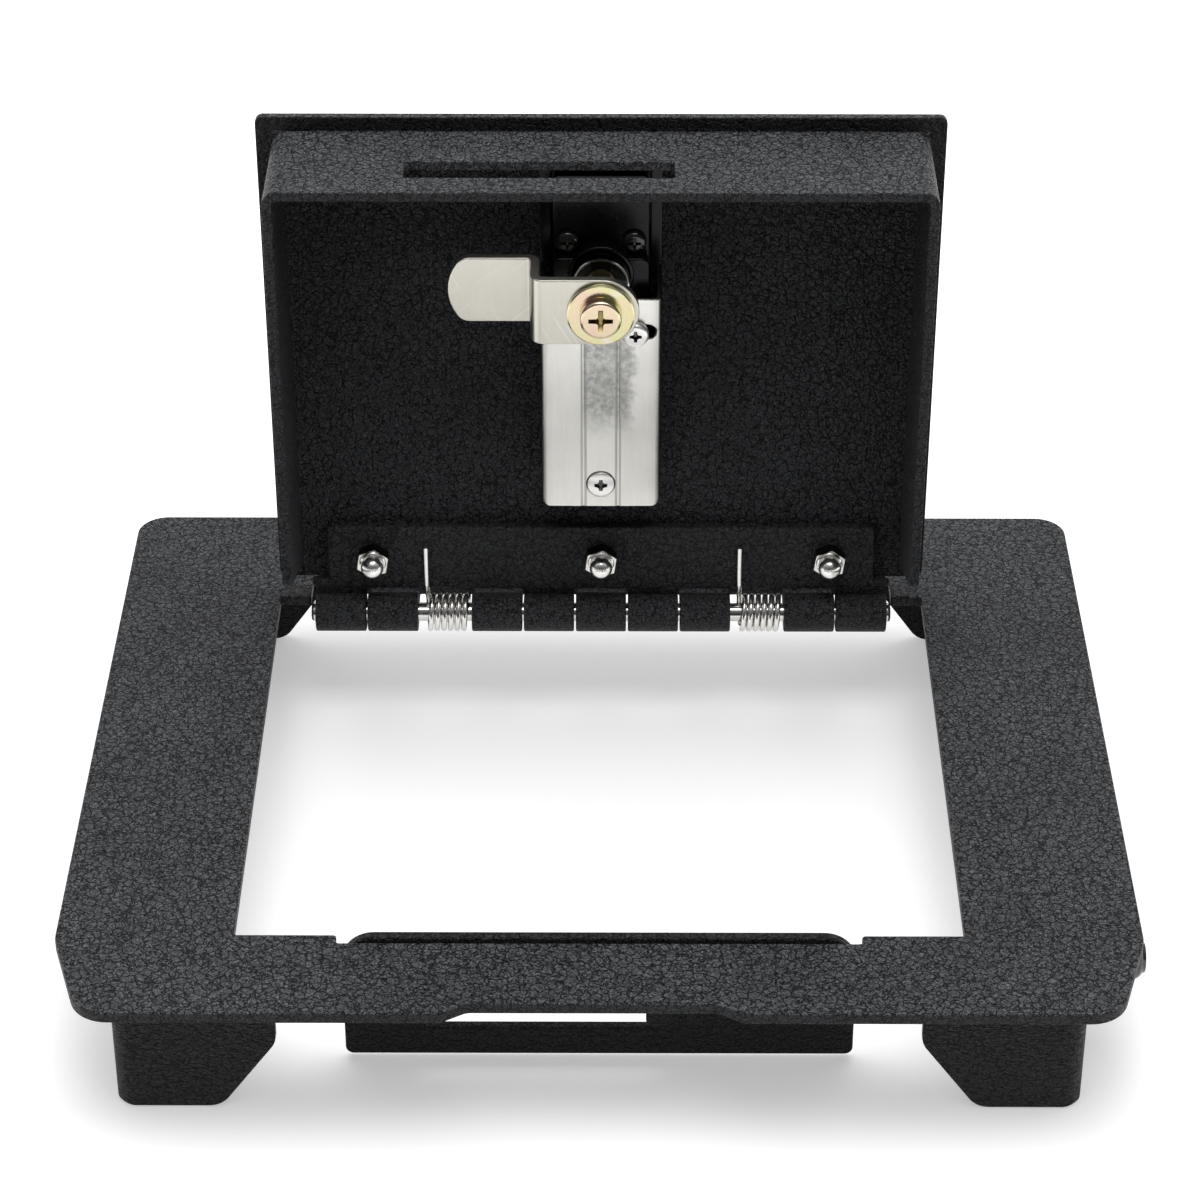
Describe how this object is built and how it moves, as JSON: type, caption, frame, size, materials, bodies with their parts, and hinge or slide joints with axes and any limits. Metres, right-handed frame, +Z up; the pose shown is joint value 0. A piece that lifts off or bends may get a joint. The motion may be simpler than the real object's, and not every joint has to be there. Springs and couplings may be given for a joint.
{
  "type": "console safe",
  "caption": "Console safe top: steel frame plate on four short legs, with a sprung hinged lid that carries a combination lock and its cam.",
  "frame": {"origin": "centre of the object's box, on the surface that its four legs stand on, lid open", "axes": "+X to the right along the hinge pin, +Y to the rear, +Z up"},
  "size_m": [0.2592, 0.2154, 0.177],
  "materials": {
    "powder_coat": "matt black textured powder coat",
    "black_steel": "black oxide",
    "lock_black": "smooth black moulding",
    "bright_steel": "bright nickel plate",
    "stainless": "satin stainless steel",
    "chrome": "polished chrome",
    "yellow_zinc": "yellow zinc plate"
  },
  "bodies": {
    "frame": {"frame_plate": "powder_coat", "leg_front_left": "powder_coat", "leg_front_right": "powder_coat", "leg_rear_left": "powder_coat", "leg_rear_right": "powder_coat", "strike_plate": "powder_coat", "bolt_stop": "powder_coat", "side_screw": "black_steel", "side_nut_outer": "black_steel", "side_nut_inner": "black_steel", "hinge_frame_leaf": "powder_coat", "hinge_pin": "bright_steel", "spring_left": "bright_steel", "spring_right": "bright_steel", "hinge_stud_left": "bright_steel", "hinge_stud_middle": "bright_steel", "hinge_stud_right": "bright_steel", "hinge_nut_left": "bright_steel", "hinge_nut_middle": "bright_steel", "hinge_nut_right": "bright_steel"},
    "lid": {"lid_plate": "powder_coat", "lid_skirt": "powder_coat", "hinge_lid_leaf": "powder_coat", "lock_housing": "lock_black", "lock_clamp": "lock_black", "lock_bezel": "lock_black", "lock_barrel": "chrome", "dial_shaft": "bright_steel", "lock_cover": "stainless", "cover_screw_lower": "bright_steel", "cover_screw_upper": "bright_steel", "housing_screw_left": "black_steel", "housing_screw_right": "black_steel", "lid_stud_left": "bright_steel", "lid_stud_middle": "bright_steel", "lid_stud_right": "bright_steel", "cap_nut_left": "bright_steel", "cap_nut_middle": "bright_steel", "cap_nut_right": "bright_steel"},
    "cam": {"lock_cam": "stainless", "lock_spindle": "bright_steel", "cam_washer": "yellow_zinc", "cam_screw": "yellow_zinc", "lock_knob": "lock_black"},
    "dial_1": {"dial_1": "lock_black"},
    "dial_2": {"dial_2": "lock_black"},
    "dial_3": {"dial_3": "lock_black"},
    "dial_4": {"dial_4": "lock_black"}
  },
  "joints": [
    {"name": "lid_hinge", "type": "hinge", "parent": "frame", "child": "lid", "pos_m": [-0.00065, 0.06575, 0.0321], "axis": [1, 0, 0], "range_deg": [0, 90], "stiffness_Nm_per_rad": 0.4, "springref_deg": -45.84, "deforming": ["spring_left", "spring_right"]},
    {"name": "cam_turn", "type": "hinge", "parent": "lid", "child": "cam", "pos_m": [-0.00065, 0.06575, 0.1396], "axis": [0, 1, 0], "range_deg": [0, 90]},
    {"name": "dial_turn_1", "type": "hinge", "parent": "lid", "child": "dial_1", "pos_m": [-0.00065, 0.06935, 0.0921], "axis": [0, 0, 1], "continuous": true},
    {"name": "dial_turn_2", "type": "hinge", "parent": "lid", "child": "dial_2", "pos_m": [-0.00065, 0.06935, 0.1013], "axis": [0, 0, 1], "continuous": true},
    {"name": "dial_turn_3", "type": "hinge", "parent": "lid", "child": "dial_3", "pos_m": [-0.00065, 0.06935, 0.1105], "axis": [0, 0, 1], "continuous": true},
    {"name": "dial_turn_4", "type": "hinge", "parent": "lid", "child": "dial_4", "pos_m": [-0.00065, 0.06935, 0.1197], "axis": [0, 0, 1], "continuous": true}
  ]
}
